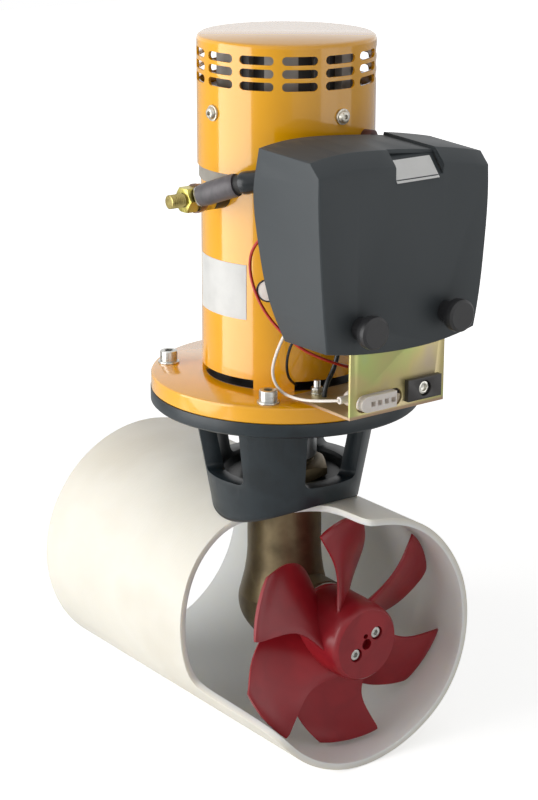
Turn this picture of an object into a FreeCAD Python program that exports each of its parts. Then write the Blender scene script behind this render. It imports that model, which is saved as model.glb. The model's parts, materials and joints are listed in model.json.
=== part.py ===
import FreeCAD, Part
import math
import os
from FreeCAD import Vector as V

# Bow thruster: direct-current motor on a flange, bracket, bronze gear leg and
# six-bladed propeller in a glass-fibre tunnel, with a relay box on the motor.
# The origin is where the tunnel axis (Y) crosses the leg axis (Z). Millimetres.

# ---- driving dimensions
TUN_RO, TUN_RI = 97.5, 92.5          # tunnel outside and inside radius
TUN_BACK = 192.0                     # square end of the tunnel
MOUTH = [(-130, -102), (-115, -102), (-99, -102.5), (-80, -101.5), (-57, -102.8), (-40, -104.5), (-24, -104.2),
         (-7, -103), (8, -102.3), (20, -102), (33, -100.6), (47, -100.6), (60, -102.5), (72, -103.5),
         (82, -103.5), (89, -103), (91, -94), (91, -78), (92, -62), (97, -50), (106, -37), (115, -22),
         (124, -6), (136, -1), (150, 1.4), (165, 0.5), (180, -0.3), (190, -0.5), (200, 0.8), (208, 0),
         (211, -12), (211, -30), (211.5, -48), (212, -66), (213, -84), (216, -98), (222, -102)]
LEG_R, SPIGOT_R = 28.2, 22.0         # column and threaded neck of the gear leg
POD_R, POD_TAIL, POD_NOSE = 31.0, 42.0, 46.0
BR_R, BR_Z0, BR_Z1 = 100.3, 165.5, 176.0   # bracket flange
FLOOR_Z = 106.0                      # floor of the bracket cup
FL_R, FL_Z = 99.8, 188.5             # motor flange plate and its top
BOLT_R = 88.0                        # bolt circle of the flange
TUBE_R, TUBE_RI, TUBE_Z = 61.6, 56.6, 362.0
COV_R, COV_Z0, COV_Z1 = 64.2, 344.0, 436.6
SLOT_N, SLOT_ROWS = 13, (407.5, 416.4, 425.3)
SHAFT_R, DRIVE_R = 8.5, 7.0
RUN = 0.05                           # radial running clearance of the shafts
N_PIN, N_GEAR, MODULE = 13, 22, 2.0  # bevel gears
HUB_Y0, HUB_Y1 = -52.5, -100.8       # propeller hub, back and front
BLADES, BLADE_TIP, BLADE_AT = 6, 89.4, 66.0
PL_X, PL_Y, PL_T = 42.5, -129.4, 2.0  # control plate: half width, front face, thickness
BOX_Y0 = -134.0                      # front of the control box cover
KNOB_X, KNOB_Z = 38.5, 255.0

X, Y, Z = V(1, 0, 0), V(0, 1, 0), V(0, 0, 1)
os.makedirs("parts", exist_ok=True)


def save(node, *shapes):
    """Writes one node: one solid, or a group of separate solids."""
    solids = [s for shape in shapes for s in shape.Solids]
    shape = solids[0] if len(solids) == 1 else Part.makeCompound(solids)
    shape.exportStep("parts/%s.step" % node)
    print("%-22s %2d solid(s) %10.0f mm3" % (node, len(solids), shape.Volume))


def cyl(r, a, b, axis=Z, at=V()):
    return Part.makeCylinder(r, b - a, at + axis * a, axis)


def ring(ro, ri, a, b, axis=Z, at=V()):
    return cyl(ro, a, b, axis, at).cut(cyl(ri, a - 1, b + 1, axis, at))


def box(x0, x1, y0, y1, z0, z1):
    return Part.makeBox(x1 - x0, y1 - y0, z1 - z0, V(x0, y0, z0))


def face(points):
    return Part.Face(Part.makePolygon(list(points) + [points[0]]))


def turned(points, axis=Z):
    """A turned piece from (radius, height along the axis) corners."""
    side = X if axis == Z or axis == Y else Y
    return face([side * r + axis * s for r, s in points]).revolve(V(), axis, 360)


def spun(shape, deg, axis=Z, at=V()):
    out = shape.copy()
    out.rotate(at, axis, deg)
    return out


def around(shape, n, start=0.0, axis=Z, step=None):
    return [spun(shape, start + k * (step or 360.0 / n), axis) for k in range(n)]


def joined(shapes):
    return shapes[0].multiFuse(list(shapes[1:]))


def polar(r, deg, z):
    return V(r * math.cos(math.radians(deg)), r * math.sin(math.radians(deg)), z)


def hexagon(flats, a, b, axis=Z, at=V()):
    """A hexagonal bar along an axis, with the corners turned off on both ends."""
    r = flats / math.sqrt(3)
    u = X if axis != X else Y
    v = axis.cross(u)
    pts = [at + axis * a + u * r * math.cos(math.pi / 3 * k) + v * r * math.sin(math.pi / 3 * k)
           for k in range(6)]
    bar = face(pts).extrude(axis * (b - a))
    c = r * 0.16
    cap = Part.makeCone(r - c, r, c * 0.6, at + axis * a, axis)
    mid = cyl(r, a + c * 0.6, b - c * 0.6, axis, at)
    top = Part.makeCone(r, r - c, c * 0.6, at + axis * (b - c * 0.6), axis)
    return bar.common(joined([cap, mid, top]))


def cable(points, r):
    """A round lead: straight runs joined by tangent arcs as large as the runs allow."""
    pts = [V(*p) for p in points]
    edges, at, radii = [], pts[0], []
    for a, b, c in zip(pts, pts[1:], pts[2:]):
        u, w = (b - a).normalize(), (c - b).normalize()
        turn = u.getAngle(w)
        cut = 0.45 * min((b - a).Length, (c - b).Length)
        radii.append(cut / math.tan(turn / 2))
        mid = (w - u).normalize() * (radii[-1] / math.cos(turn / 2) - radii[-1])
        p, q = b - u * cut, b + w * cut
        edges += [Part.LineSegment(at, p).toShape(), Part.Arc(p, b + mid, q).toShape()]
        at = q
    edges.append(Part.LineSegment(at, pts[-1]).toShape())
    path = Part.Wire(edges)
    start = Part.Wire(Part.makeCircle(r, pts[0], pts[1] - pts[0]))
    body = path.makePipeShell([start], True, False)
    print("  lead r %.1f length %.0f radii %s volume ratio %.3f" % (
        r, path.Length, [round(v) for v in radii], body.Volume / (math.pi * r * r * path.Length)))
    return body


# ---- tunnel: filament-wound tube, one end cut square, the other stepped back over one side
rims = []
for r in (80, 110):
    rim = Part.BSplineCurve()
    rim.buildFromPoles([V(r * math.cos(math.radians(a)), y, r * math.sin(math.radians(a))) for a, y in MOUTH],
                       True, 3)
    rims.append(rim.toShape())
cutter = Part.makeRuledSurface(rims[0], rims[1]).extrude(Y * -150)
leg_hole = cyl(SPIGOT_R + 0.5, 80, 110)
tunnel = ring(TUN_RO, TUN_RI, -120, TUN_BACK, Y).cut(cutter).cut(leg_hole)
save("tunnel", tunnel)

# ---- mounting bracket: flange, four legs round four windows, cup and saddle
wall = turned([(55, 60), (55.5, 88), (57, 96), (69.5, BR_Z0), (69.5, BR_Z0 + 4), (58, BR_Z0 + 4),
               (57, BR_Z0), (46.5, FLOOR_Z + 4), (42.5, FLOOR_Z), (0, FLOOR_Z), (0, 60)])
flange = turned([(50, BR_Z0), (BR_R - 1.5, BR_Z0), (BR_R, BR_Z0 + 1.5), (BR_R, BR_Z1), (50, BR_Z1)])
half = math.radians(23)
window = face([V(0, 0, 113), V(90 * math.cos(half), -90 * math.sin(half), 113),
               V(90 * math.cos(half), 90 * math.sin(half), 113)]).extrude(Z * 45)
window = window.makeFillet(5, [ed for ed in window.Edges if abs(ed.BoundBox.ZLength) < 0.1
                               and ed.Length > 60 and abs(ed.Vertexes[0].X - ed.Vertexes[1].X) > 5])
bracket = joined([wall, flange])
bracket = bracket.cut(joined(around(window, 4)))
bracket = bracket.cut(turned([(0, FLOOR_Z), (42.5, FLOOR_Z), (46.5, FLOOR_Z + 4), (57, BR_Z0),
                              (57, BR_Z1 + 1), (0, BR_Z1 + 1)]))
bracket = bracket.cut(cyl(TUN_RO + 1.5, -80, 80, Y))
bracket = bracket.cut(cyl(SPIGOT_R + 0.3, 80, 120))
bracket = bracket.cut(joined([cyl(4.0, BR_Z0 - 6, 200, at=polar(BOLT_R, 45 + 90 * k, 0))
                              for k in range(4)]))
save("mounting_bracket", bracket)

saddle = ring(TUN_RO + 1.5, TUN_RO, -70, 70, Y).common(ring(55.2, SPIGOT_R + 0.3, 50, 110))
save("tunnel_gasket", saddle)

# ---- motor flange plate and its screws
plate = turned([(32, BR_Z1), (FL_R - 0.8, BR_Z1), (FL_R, BR_Z1 + 0.8), (FL_R, FL_Z - 1.8),
                (FL_R - 0.6, FL_Z - 0.6), (FL_R - 1.8, FL_Z), (32, FL_Z)])
plate = plate.cut(joined([cyl(4.4, 170, 200, at=polar(BOLT_R, 45 + 90 * k, 0)) for k in range(4)]))
plate_screw_at = [V(25, -70.4, 0), V(-25, -70.4, 0)]
plate = plate.cut(joined([cyl(2.5, FL_Z - 9, FL_Z + 1, at=p) for p in plate_screw_at]))
save("motor_flange", plate)

cap = turned([(0, 0), (5.9, 0), (6.5, 0.5), (6.5, 7.2), (5.8, 8), (0, 8)])
cap = cap.fuse(cyl(4.0, -24.1, 0)).cut(hexagon(6, 3.6, 9))
cap.translate(Z * (FL_Z + 1.6))
save("flange_cap_screws", *[spun(cap.translated(X * BOLT_R), 45 + 90 * k) for k in range(4)],
     *[ring(8, 4.3, FL_Z, FL_Z + 1.6, at=polar(BOLT_R, 45 + 90 * k, 0)) for k in range(4)])

# ---- motor housing: steel tube with four slots round its foot
foot_slot = face([V(0, 0, 180), V(90 * math.cos(math.radians(31)), -90 * math.sin(math.radians(31)), 180),
                  V(90 * math.cos(math.radians(31)), 90 * math.sin(math.radians(31)), 180)])
foot_slot = foot_slot.extrude(Z * 15.8)
tube = ring(TUBE_R, TUBE_RI, FL_Z, TUBE_Z).cut(joined(around(foot_slot, 4)))
stud_at = V(0, -5, 328)
port = V(math.cos(math.radians(-139)), math.sin(math.radians(-139)), 0)
tube = tube.cut(cyl(5, -70, -50, X, stud_at)).cut(cyl(7.5, 50, 70, port, Z * 263))
tube = tube.cut(cyl(5.0, -70, -50, Y, V(0, 0, 328)))
save("motor_housing", tube)
plug = cyl(7.5, 55, 70, port, Z * 263).common(ring(TUBE_R + 0.8, TUBE_RI, 250, 276))
save("housing_plug", plug)
band = turned([(TUBE_R, 334), (62.6, 334), (63.0, 334.6), (63.0, 343), (62.6, COV_Z0),
               (TUBE_R, COV_Z0)])
save("housing_band", band.cut(cyl(9.5, -70, -50, X, stud_at)))

# ---- upper motor cover with three rows of slots, and its screws
cover = turned([(COV_R - 2, COV_Z0), (COV_R, COV_Z0), (COV_R, COV_Z1 - 3.2), (COV_R - 0.8, COV_Z1 - 1.1),
                (COV_R - 2.6, COV_Z1), (0, COV_Z1), (0, COV_Z1 - 2), (COV_R - 3.2, COV_Z1 - 2),
                (COV_R - 2, COV_Z1 - 4)])
half_w = COV_R * math.sin(math.radians(11.2)) - 3.0
bar = box(55, 75, -half_w, half_w, -3, 3)
slot = joined([bar, cyl(3, 55, 75, X, V(0, half_w, 0)), cyl(3, 55, 75, X, V(0, -half_w, 0))])
slots = [s for z in SLOT_ROWS for s in around(slot.translated(Z * z), SLOT_N, -91.0)]
cover = cover.cut(Part.makeCompound(slots))
cover_holes = [cyl(2.7, 55, 75, polar(1, 90 * k, 0), Z * 385.5) for k in range(4)]
cover = cover.cut(Part.makeCompound(cover_holes))
save("motor_cover", cover)
screw = joined([turned([(0, COV_R + 1.4), (4.4, COV_R + 1.4), (4.4, COV_R + 2.2), (3.4, COV_R + 4.0),
                        (0, COV_R + 4.4)]), cyl(2.5, COV_R - 9, COV_R + 1.4)])
screw = screw.cut(hexagon(3, COV_R + 2.2, COV_R + 6))
screw.rotate(V(), Y, 90)
washer = ring(5.6, 2.5, COV_R - 6, COV_R + 1.4, X).cut(cyl(COV_R, -20, 20))
save("cover_screws", *around(screw.translated(Z * 385.5), 4),
     *around(washer.translated(Z * 385.5), 4))

# ---- motor inside: end frames, magnets, armature, commutator, brushes, bearings
bell = turned([(COV_R - 2, TUBE_Z), (COV_R - 2, 394), (COV_R - 5, 397), (22, 397), (22, 399), (17, 399),
               (17, 384), (17, 383), (50, 383), (50, TUBE_Z)])
bell = bell.cut(joined([cyl(2.5, 54, 66, polar(1, 90 * k, 0), Z * 385.5) for k in range(4)]))
save("commutator_end_frame", bell)
foot = turned([(17, 197), (TUBE_RI, 197), (TUBE_RI, 207), (28, 207), (28, 213), (17, 213)])
save("drive_end_frame", foot)
save("motor_bearings", ring(17, SHAFT_R + RUN, 385, 396), ring(17, SHAFT_R + RUN, 199, 211))
sector = face([V(0, 0, 222)] + [polar(110, a, 222) for a in (-38, 0, 38)]).extrude(Z * 116)
magnet = ring(TUBE_RI, 47, 222, 338).common(sector)
save("field_magnets", *around(magnet, 4, 45))
core = cyl(45, 228, 332)
core = core.cut(joined(around(box(37, 47, -2.2, 2.2, 220, 340), 12)))
core = core.cut(cyl(SHAFT_R, 200, 360))
save("armature_core", core)
ends = [turned([(30, a), (42, a), (42, a + s * 8), (38, a + s * 12), (30, a + s * 12)])
        for a, s in ((228, -1), (332, 1))]
save("armature_windings", *ends)
save("commutator", joined([ring(22, SHAFT_R, 350, 374), ring(24.5, SHAFT_R, 348, 352)]).removeSplitter())
brush = box(22.4, 40, -5, 5, 356, 372)
save("brushes", *around(brush, 4, 45))
holder = joined([ring(50, 26, 374, 379)] + around(box(22.9, 46, 5, 7, 354, 375).fuse(
    box(22.9, 46, -7, -5, 354, 375)).fuse(box(40, 46, -7, 7, 354, 375)).cut(cyl(26, 373, 380)), 4, 45))
holder = holder.cut(cyl(23.6, 350, 376))
save("brush_holder", holder.removeSplitter())
save("motor_shaft", turned([(0, 149), (7.8, 149), (SHAFT_R, 149.7), (SHAFT_R, 397.3), (7.8, 398),
                            (0, 398)]))

# ---- flexible coupling seen through the bracket windows
dog = face([V(10, -5, 0), V(24, -7.5, 0), V(24, 7.5, 0), V(10, 5, 0)]).extrude(Z * 8)
dog = dog.common(cyl(24, 0, 8))
upper = ring(24, SHAFT_R, 152, 172)
upper = joined([upper] + around(dog.translated(Z * 144), 3))
lower = joined([ring(24, DRIVE_R, 122, 142)] + around(dog.translated(Z * 142), 3, 60))
lower = lower.cut(joined(around(cyl(2.2, 15, 30, X, Z * 130), 2, 30)))
save("upper_coupling", upper.removeSplitter())
save("lower_coupling", lower.removeSplitter())
dogs = Part.makeCompound(around(dog.translated(Z * 144), 3) + around(dog.translated(Z * 142), 3, 60))
spider = ring(23, 9.5, 142.6, 151.4).cut(dogs)
save("coupling_spider", *spider.Solids)

# ---- gear leg: column, pod with tail, threaded neck, gear space and bores
tail = [(POD_R * math.cos(a), POD_TAIL * math.sin(a)) for a in [math.radians(d) for d in
                                                               (0, 12, 24, 36, 48, 60, 72, 82)]]
pod_curve = Part.BSplineCurve()
pod_curve.interpolate([V(POD_R, -POD_NOSE, 0), V(POD_R + 0.6, -20, 0)] + [V(r, s, 0) for r, s in tail]
                      + [V(0, POD_TAIL, 0)])
pod = Part.Face(Part.Wire([pod_curve.toShape(), Part.makeLine(V(0, POD_TAIL, 0), V(0, -POD_NOSE, 0)),
                           Part.makeLine(V(0, -POD_NOSE, 0), V(POD_R, -POD_NOSE, 0))]))
pod = pod.revolve(V(), Y, 360)
column = turned([(0, 0), (LEG_R, 0), (LEG_R, 97), (0, 97)])
flare = turned([(0, 10), (34.5, 10), (30.6, 26), (29, 36), (LEG_R, 46), (0, 46)])
leg = joined([column, pod, flare.common(cyl(POD_R + 2, -60, 60, Y).fuse(cyl(40, 5, 60)))])
leg = leg.common(cyl(TUN_RI, -60, 60, Y)).fuse(cyl(SPIGOT_R, 80, 119))
leg = leg.cut(Part.makeSphere(26.5))
leg = leg.cut(cyl(12, 20, 130)).cut(cyl(14, -60, -20, Y)).cut(cyl(9, 20, 36, Y))
save("gear_leg", leg.removeSplitter())
save("leg_nut", hexagon(60, FLOOR_Z, FLOOR_Z + 11).cut(cyl(SPIGOT_R, 90, 130)))
save("drive_bearings", ring(12, DRIVE_R + RUN, 36, 48), ring(12, DRIVE_R + RUN, 98, 110))
save("propeller_bearings", ring(14, DRIVE_R + RUN, -39, -27, Y), ring(9, DRIVE_R + RUN, 24, 34, Y))
save("shaft_seals", ring(14, DRIVE_R + RUN, -46, -40, Y),
     turned([(DRIVE_R + RUN, 111), (DRIVE_R + 1, 110.5), (12, 110.5), (12, 117), (9, 117), (9, 113),
             (DRIVE_R + RUN, 113)]))
save("pod_cap", turned([(9, -50.5), (28.5, -50.5), (30.5, -49), (30.5, -POD_NOSE), (9, -POD_NOSE)], Y))


# ---- bevel gears: straight teeth that all point at the crossing of the two shafts
def bevel(n, mate, phase):
    """Gear with its pitch cone's tip at the origin, axis +Z, big end at the top."""
    cone = math.atan2(n, mate)
    length = MODULE * math.hypot(n, mate) / 2
    tip, root = 0.85 * MODULE, -1.25 * MODULE

    def at(h, side, scale):
        along = V(math.sin(cone), 0, math.cos(cone)) * length
        out = V(math.cos(cone), 0, -math.sin(cone)) * h
        p = (along + out) * scale
        width = (math.pi * MODULE * 0.205 - h * math.tan(math.radians(21))) * scale
        return spun(Part.Vertex(p), math.degrees(math.atan2(side * width, p.x)) + phase, Z).Point

    teeth = []
    for k in range(n):
        loops = [Part.makePolygon([at(h, s, sc) for h, s in
                                   ((root - 0.6, -1), (root - 0.6, 1), (tip, 1), (tip, -1), (root - 0.6, -1))])
                 for sc in (0.66, 1.0)]
        teeth.append(spun(Part.makeLoft(loops, True, True), 360.0 * k / n))
    corners = []
    for h, sc in ((root, 0.66), (root, 1.0)):
        p = (V(math.sin(cone), 0, math.cos(cone)) * length + V(math.cos(cone), 0, -math.sin(cone)) * h) * sc
        corners.append((p.x, p.z))
    return teeth, corners


teeth, (small, big) = bevel(N_PIN, N_GEAR, -90.0)
blank = turned([(0, small[1] + 0.01), small, big, (10.5, big[1] + 3), (10.5, 33), (0, 33)])
pinion = joined([blank] + teeth).cut(cyl(DRIVE_R, 0, 40))
save("pinion", pinion.removeSplitter())
teeth, (small, big) = bevel(N_GEAR, N_PIN, 90.0 + 180.0 / N_GEAR)
blank = turned([(0, small[1]), small, big, (big[0] - 3, big[1] + 3.2), (12, big[1] + 6), (12, 26), (0, 26)])
crown = joined([blank] + teeth)
crown.rotate(V(), X, 90)
save("crown_gear", crown.cut(cyl(DRIVE_R, -40, 0, Y)).removeSplitter())
save("drive_shaft", turned([(0, 14.5), (DRIVE_R, 14.5), (DRIVE_R, 140.5), (6.3, 141.2), (0, 141.2)]))

# ---- propeller: hub with six wide twisted blades, insert, pin and screws
shaft = turned([(0, 34), (6.4, 34), (DRIVE_R, 33.4), (DRIVE_R, -87.9), (0, -87.9)], Y)
shaft = shaft.cut(spun(cyl(2.5, -12, 12, X, Y * -72), -35, Y))
save("propeller_shaft", shaft)
insert = ring(17, DRIVE_R, -88, -58, Y).cut(cyl(2.5, -20, 20, X, Y * -72))
insert = insert.cut(joined([cyl(2.4, -90, -80, Y, polar(11.5, 0, 0))] +
                           [cyl(2.4, -90, -80, Y, polar(11.5, 180, 0))]))
insert.rotate(V(), Y, -35)
shaft_pin = cyl(2.5, -16.8, 16.8, X, Y * -72)
shaft_pin.rotate(V(), Y, -35)
hub = turned([(17, HUB_Y0), (29.5, HUB_Y0), (31, HUB_Y0 - 1.5), (30.6, -75), (29.6, -94), (28.6, -98.4),
              (26.4, HUB_Y1), (0, HUB_Y1), (0, -88), (17, -88)], Y)


# One blade by stations: radius, chord ahead of and behind the blade's axis, pitch angle, y of the axis.
STATIONS = [(24.0, 11.2, 30.0, 43.1, -69.7), (30.5, 20.3, 27.4, 41.2, -69.3), (40.4, 29.6, 21.9, 38.0, -69.0),
            (50.2, 33.9, 21.3, 34.3, -68.8), (60.0, 33.6, 24.2, 30.1, -68.9), (69.8, 29.0, 29.2, 25.5, -69.1),
            (79.6, 20.5, 34.8, 20.5, -69.5), (BLADE_TIP, 8.5, 39.6, 15.0, -70.2)]


def blade_point(station, c, side):
    """Point of the blade's skin: c runs from -1 at the following edge to 1 at the leading edge."""
    r, lead, trail, pitch, mid = station
    pitch = math.radians(pitch)
    s = (lead + trail) / 2 * c + (lead - trail) / 2
    t = (r - 24) / (BLADE_TIP - 24)
    half = side * (0.8 + (2.5 - 1.7 * t) * math.sqrt(1 - c * c))
    a = (s * math.cos(pitch) - half * math.sin(pitch)) / r
    return V(r * math.sin(a), mid + s * math.sin(pitch) + half * math.cos(pitch), r * math.cos(a))


def blade_skin(side):
    skin = Part.BSplineSurface()
    skin.interpolate([[blade_point(st, c, side) for c in (-1, -0.8, -0.4, 0, 0.4, 0.8, 1)] for st in STATIONS])
    return skin.toShape()


skins = [blade_skin(1), blade_skin(-1)]
sides = []
for edge in skins[0].Edges:
    mid = edge.valueAt((edge.FirstParameter + edge.LastParameter) / 2)
    twin = min(skins[1].Edges, key=lambda o: (o.valueAt((o.FirstParameter + o.LastParameter) / 2) - mid).Length)
    sides.append(Part.makeRuledSurface(edge, twin))
shell = Part.makeShell([f for part in skins + sides for f in part.Faces])
shell.sewShape()
blade = Part.makeSolid(shell)
if blade.Volume < 0:
    blade.reverse()
blades = around(blade, BLADES, BLADE_AT, Y)
prop = joined([hub] + blades)
prop = prop.cut(cyl(17, -88, HUB_Y0 + 1, Y))
screw_at = [spun(Part.Vertex(V(s * 11.5, 0, 0)), -35, Y).Point for s in (1, -1)]
prop = prop.cut(joined([cyl(2.6, -110, -80, Y, p) for p in screw_at] +
                       [cyl(5.2, -110, HUB_Y1 + 6.5, Y, p) for p in screw_at] +
                       [cyl(4.2, -110, HUB_Y1 + 6, Y), cyl(2.0, -110, HUB_Y1 + 6, Y, V(-1, 0, 6.4))]))
save("propeller", prop)
save("propeller_insert", insert)
save("propeller_drive_pin", shaft_pin)
psc = turned([(0, 0), (2.4, 0), (2.4, 12.2), (4.6, 12.2), (4.6, 16.6), (4.0, 17.2), (0, 17.2)])
psc = psc.cut(hexagon(4, 14, 18))
psc.rotate(V(), X, 90)
psc.translate(V(0, -82.1, 0))
save("propeller_screws", *[psc.translated(p) for p in screw_at])

# ---- power terminal on the side of the motor housing
stud = turned([(0, 56.6), (5, 56.6), (5, 94.6), (4.2, 94.6), (4.2, 95.6), (5, 95.6), (5, 105.8),
               (4.2, 106.8), (0, 106.8)])
stud.rotate(V(), Y, -90)
inner_stud = spun(turned([(0, 56.6), (5, 56.6), (5, 76), (0, 76)]), 90, X).translated(Z * 328)
save("power_studs", stud.translated(stud_at), inner_stud)
save("stud_insulators", cyl(9.5, -70, -50, X, stud_at).cut(cyl(TUBE_R, 300, 350)).cut(
    cyl(5, -80, -40, X, stud_at)))
save("stud_nuts", hexagon(17, -79, -70, X, stud_at).cut(cyl(5, -110, -50, X, stud_at)),
     hexagon(17, -94.5, -84.6, X, stud_at).cut(cyl(5, -110, -50, X, stud_at)),
     ring(10.5, 5, -84.6, -82.4, X, stud_at))

# ---- control plate: folded sheet steel on the flange, with a foot and an upright
sheet = joined([box(-PL_X, PL_X, PL_Y, -63.5, FL_Z, FL_Z + PL_T),
                box(-PL_X, PL_X, PL_Y, PL_Y + PL_T, FL_Z, 340)])
sheet = sheet.cut(joined([cyl(2.9, 180, 200, at=p) for p in plate_screw_at]))
obround = joined([box(-30.5, -2.5, -140, -120, 192, 205), cyl(6.5, -140, -120, Y, V(-30.5, 0, 198.5)),
                  cyl(6.5, -140, -120, Y, V(-2.5, 0, 198.5))])
sheet = sheet.cut(obround).cut(box(10.5, 33, -140, -120, 196, 207))
sheet = sheet.cut(joined([cyl(3, -140, -120, Y, V(s * KNOB_X, 0, KNOB_Z)) for s in (1, -1)]))
save("control_plate", sheet.removeSplitter())
psn = joined([cyl(2.5, FL_Z - 8, FL_Z + 12), cyl(4.6, FL_Z + 2, FL_Z + 3)]).fuse(
    hexagon(8, FL_Z + 3, FL_Z + 7))
save("plate_screws", *[psn.translated(p) for p in plate_screw_at])

plug_body = joined([box(-29, -3.5, -133, -112, 192.8, 204.2), cyl(5.7, -133, -112, Y, V(-29, 0, 198.5))])
holes = joined([box(x - 1.9, x + 1.9, -140, -124, 196.4, 200.2) for x in (-24.5, -18.5, -12.5, -6.5)])
tail = cyl(2.6, -43, -34, X, V(0, -118, 200.5))
save("control_connector", plug_body.cut(holes).fuse(tail).removeSplitter())
holder = box(6.5, 37, -133.4, PL_Y, 193.8, 209.5).fuse(box(10.5, 33, PL_Y, -108, 196, 207))
holder = holder.cut(cyl(5.6, -140, -116, Y, V(22, 0, 201.5)))
save("fuse_holder", holder)
save("fuse", turned([(0, -116), (4.6, -116), (4.6, -132), (2.6, -132), (2.6, -130), (0, -130)], Y)
     .translated(V(22, 0, 201.5)))

# ---- control box cover: moulded shell with arched, tapering front and open back
LEFT = [(-66.3, 240.6), (-69.2, 264), (-71.6, 291.6), (-73.6, 320), (-74.6, 342), (-74.4, 361.5)]
TOP = [(-74.4, 361.5), (-45, 364.6), (-10, 363.2), (33, 359), (75.4, 352)]
RIGHT = [(75.4, 352), (76, 330), (74.2, 299), (71.4, 270), (66, 239.4)]
BOTTOM = [(66, 239.4), (36, 234), (0, 233), (-36, 235.6), (-66.3, 240.6)]


def outline(y, grow, lift, drop):
    edges = []
    for run in (LEFT, TOP, RIGHT, BOTTOM):
        c = Part.BSplineCurve()
        pts = []
        for px, pz in run:
            k = (pz - 236) / 126.0
            pts.append(V(px * (1 + grow / 75.0), y, pz + lift * max(0, k) - drop * max(0, 1 - k)))
        c.interpolate(pts)
        edges.append(c.toShape())
    return Part.Wire(edges)


outer = Part.makeLoft([outline(y, g, up, dn) for y, g, up, dn in
                       ((BOX_Y0, -1.2, -2.0, -1.0), (BOX_Y0 + 1.2, 0, 0, 0), (BOX_Y0 + 10, 0.5, 9.0, 0.4),
                        (-60, 2.2, 11.5, 1.0))], True, True)
inner = Part.makeLoft([outline(y, g, up, dn) for y, g, up, dn in
                       ((BOX_Y0 + 3.0, -3.0, -3.2, -3.0), (BOX_Y0 + 11, -2.5, 6.0, -2.6),
                        (-55, -0.9, 8.4, -2.0))], True, True)
shell = outer.cut(inner)
back = Part.BSplineCurve()
back.interpolate([V(-100, -69.5, 385), V(-100, -69.5, 371), V(-100, -64, 345), V(-100, -64.8, 317),
                  V(-100, -68.4, 292), V(-100, -74.4, 267.6), V(-100, -86, 244), V(-100, -96, 228)])
rear = Part.Face(Part.Wire([back.toShape(), Part.makeLine(V(-100, -96, 228), V(-100, -40, 228)),
                            Part.makeLine(V(-100, -40, 228), V(-100, -40, 385)),
                            Part.makeLine(V(-100, -40, 385), V(-100, -69.5, 385))])).extrude(X * 200)
shell = shell.cut(rear)
notch = box(-9, 33, -140, -122, 353, 385)
shell = shell.cut(notch).cut(box(-PL_X - 0.8, PL_X + 0.8, PL_Y - 0.8, PL_Y + PL_T + 0.8, 225, 246))
shell = shell.cut(joined([cyl(3.6, -140, -125, Y, V(s * KNOB_X, 0, KNOB_Z)) for s in (1, -1)]))
save("control_box_cover", shell)
save("cover_studs", *[cyl(3.0, -140.5, PL_Y + 8, Y, V(s * KNOB_X, 0, KNOB_Z)) for s in (1, -1)])
for side, s in (("left", -1), ("right", 1)):
    knob = turned([(0, -152.5), (9.6, -152.5), (11.4, -151), (11.8, -148), (11.4, -144.6), (8.2, -144.2),
                   (7.6, BOX_Y0 - 0.2), (0, BOX_Y0 - 0.2)], Y)
    knob = knob.cut(cyl(3.0 + RUN, -141, -120, Y))
    save("knob_" + side, knob.translated(V(s * KNOB_X, 0, KNOB_Z)))

# ---- change-over contactors behind the plate
can = turned([(0, 256), (19, 256), (20, 257), (20, 318), (18, 320), (14, 320), (14, 325), (0, 325)])
at = [V(-25.5, -102, 0), V(25.5, -102, 0)]
foot = box(-6, 6, PL_Y + PL_T + 102, -18, 280, 296)
save("contactors", *[can.fuse(foot).translated(p) for p in at])
save("contactor_studs", *[cyl(3, 325, 341, at=p + V(dx, 0, 0)) for p in at for dx in (-8, 8)])

# ---- power cable with its two lugs, motor lead with its boot, and the control wires
first, last = V(-79.5, -30, 338), V(-37.5, -90, 339)
lug = ring(10, 5, -82.4, -79, X, stud_at)
run = (last - V(-44.5, -80, 344)).normalize()
lead_in = (V(-75, -45, 344) - first).normalize()
lug = lug.fuse(Part.makeCylinder(7.2, 20, first - lead_in * 20, lead_in)).cut(cyl(5, -110, -50, X, stud_at))
lug = lug.cut(cyl(10.6, -98, -82.4, X, stud_at)).cut(cyl(9.9, -79, -60, X, stud_at))
inner_lug = ring(7.5, 3, 331, 334, at=V(-33.5, -102, 0)).fuse(Part.makeCylinder(5.6, 10, last, run))
inner_lug = inner_lug.cut(cyl(3, 320, 345, at=V(-33.5, -102, 0)))
lug = max(lug.Solids, key=lambda part: part.Volume)
save("cable_lugs", lug.removeSplitter(), inner_lug.removeSplitter())
save("power_cable", cable([first, (-75, -45, 344), (-63.5, -59, 347.5), (-54, -71, 347.5), (-44.5, -80, 344),
                           last], 6.2))
way = V(math.cos(math.radians(-68)), math.sin(math.radians(-68)), 0)
boot = cyl(6.5, 60, 71.5, way, Z * 367).fuse(cyl(5.0, 352, 366, at=way * 69.6)).cut(cyl(COV_R, 340, 380))
save("terminal_boot", boot.removeSplitter())
top = way * 69.6
save("motor_lead", cable([(top.x, top.y, 352), (top.x, top.y, 343), (top.x, top.y - 4, 334.5),
                          (top.x + 1, top.y - 11, 329), (top.x + 3, -84, 328.5)], 3.0))
save("wire_red", cable([(-45.4, -103, 306), (-57, -89, 311), (-66, -66, 315), (-66, -41, 290), (-63.5, -53, 256),
                        (-51, -79, 231), (-29, -93, 219), (-4, -92, 210), (14, -95, 204), (22, -108, 201.5)], 1.1))
save("wire_white", cable([(-47, -93, 262), (-56, -78, 247), (-57, -66, 228), (-56, -57, 208), (-52.5, -62, 195),
                          (-52, -80, 194), (-51, -101, 197), (-43, -118, 200.5)], 1.0))
save("wire_black", cable([(-38, -86, 258), (-47, -79, 244), (-50, -70, 228), (-48, -64, 212), (-41, -60, 199),
                          (-27, -51, 192)], 1.0))
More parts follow.
